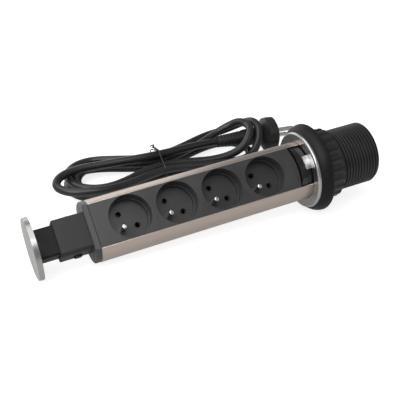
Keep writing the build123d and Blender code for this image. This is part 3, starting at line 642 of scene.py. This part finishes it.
thread_pitch = 3.2
sleeve_start = 176.5
crest, root, bore = 29.6, 28.6, 28.05
shoulder = crest - 0.12
tooth = [(0, root), (0.9, root), (1.45, shoulder), (1.75, crest), (2.35, crest), (2.65, shoulder)]
thread_steps = 96
weld_reach = 0.00001
cut_reach = 1e-7
edge_reach = 2e-6
zigzag = []
station = sleeve_start - 2 * thread_pitch
while station < sleeve_end + thread_pitch:
    zigzag += [(station + step, radius) for step, radius in tooth]
    station += thread_pitch
zigzag.append((station, root))
sleeve = profile_object("sleeve_thread", zigzag)
climb = sleeve.modifiers.new("climb", "SCREW")
climb.axis = "X"
climb.angle = 2 * math.pi
climb.screw_offset = thread_pitch * MM
climb.steps = thread_steps
climb.render_steps = thread_steps
bpy.ops.object.modifier_apply(modifier="climb")
bpy.ops.object.mode_set(mode="EDIT")
bpy.ops.mesh.select_all(action="SELECT")
bpy.ops.mesh.remove_doubles(threshold=weld_reach)
for station, inner, outer in ((sleeve_start, True, False), (sleeve_end, False, True)):
    bpy.ops.mesh.select_all(action="SELECT")
    bpy.ops.mesh.bisect(
        plane_co=(station * MM, 0, 0),
        plane_no=(1, 0, 0),
        threshold=cut_reach,
        clear_inner=inner,
        clear_outer=outer,
    )


def close_to_bore(mesh, station, radius):
    """Extrudes the open edge at a station inwards to a smaller radius."""
    bpy.ops.mesh.select_all(action="DESELECT")
    work = bmesh.from_edit_mesh(mesh)
    for edge in work.edges:
        at_cut = all(abs(vertex.co.x - station * MM) < edge_reach for vertex in edge.verts)
        if edge.is_boundary and at_cut:
            edge.select_set(True)
    bmesh.update_edit_mesh(mesh)
    bpy.ops.mesh.extrude_edges_move()
    work = bmesh.from_edit_mesh(mesh)
    for vertex in work.verts:
        if vertex.is_boundary and abs(vertex.co.x - station * MM) < edge_reach:
            away = math.hypot(vertex.co.y, vertex.co.z)
            vertex.co.y *= radius * MM / away
            vertex.co.z *= radius * MM / away
    bmesh.update_edit_mesh(mesh)


bpy.ops.mesh.select_mode(type="EDGE")
close_to_bore(sleeve.data, sleeve_start, bore)
close_to_bore(sleeve.data, sleeve_end, bore)
bpy.ops.mesh.select_all(action="DESELECT")
work = bmesh.from_edit_mesh(sleeve.data)
for edge in work.edges:
    if edge.is_boundary:
        edge.select_set(True)
bmesh.update_edit_mesh(sleeve.data)
bpy.ops.mesh.bridge_edge_loops()
bpy.ops.mesh.select_all(action="SELECT")
bpy.ops.mesh.normals_make_consistent(inside=False)
bpy.ops.object.mode_set(mode="OBJECT")
bpy.ops.object.shade_smooth_by_angle(angle=math.radians(35))
sleeve.data.transform(at_rest_matrix(0))
sleeve.data.materials.append(thread_plastic)
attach(sleeve, "collar")
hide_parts("threaded_sleeve")
print("sleeve faces", len(sleeve.data.polygons))

# %% [markdown]
# A twisted wire tie holds the waist of the hank: a thin coated wire goes once round the strands,
# crosses itself on top and ends in two short twisted tails.

# %% Twist tie
knot = Vector((-5.0, 112.6, 30.0))
round_strands = [
    (-5.2, 122.0, 26.2), (-5.0, 132.5, 22.2), (-4.8, 137.3, 17.5), (-4.8, 137.6, 9.0),
    (-5.0, 136.6, 2.2), (-5.2, 131.0, 1.1), (-5.2, 115.0, 1.0), (-5.0, 98.5, 1.1),
    (-4.8, 93.1, 2.6), (-4.6, 92.2, 9.0), (-4.6, 92.5, 17.5), (-4.8, 97.5, 22.4),
    (-5.2, 105.5, 27.4),
]
knot_end = knot + Vector((0.9, 0.4, 0.3))
ring_places = [knot] + [Vector(place) for place in round_strands] + [knot_end]
wire_radius = 0.6
twist_reach, flare = 0.75, 0.9
twist_steps, straight_steps = 12, 9
tail_axis = Vector((-0.45, 0.55, 0.45)).normalized()
tail_side = tail_axis.cross(Vector((0, 0, 1))).normalized()
tail_up = tail_side.cross(tail_axis)


def twisted_tail(phase, length):
    """One strand of the twist, from the knot to its free end, which bends away."""
    places = []
    for step in range(1, twist_steps + 1):
        turn = phase + step * math.pi / 4
        reach = twist_reach + max(0, step - straight_steps) * flare
        side = tail_side * math.cos(turn) + tail_up * math.sin(turn)
        places.append(knot + tail_axis * (length * step / twist_steps) + side * reach)
    return places


tie_curve = spline_curve("tie_wire", ring_places + twisted_tail(0.0, 9.0), wire_radius)
add_spline(tie_curve.data, [knot] + twisted_tail(math.pi, 8.0), 4)
tie_curve.data.materials.append(gloss_black)
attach(tie_curve, "tower")
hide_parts("twist_tie")
print("tie drawn")

# %% [markdown]
# Last, the view layer is brought up to date.

# %% Update the view layer
bpy.context.view_layer.update()
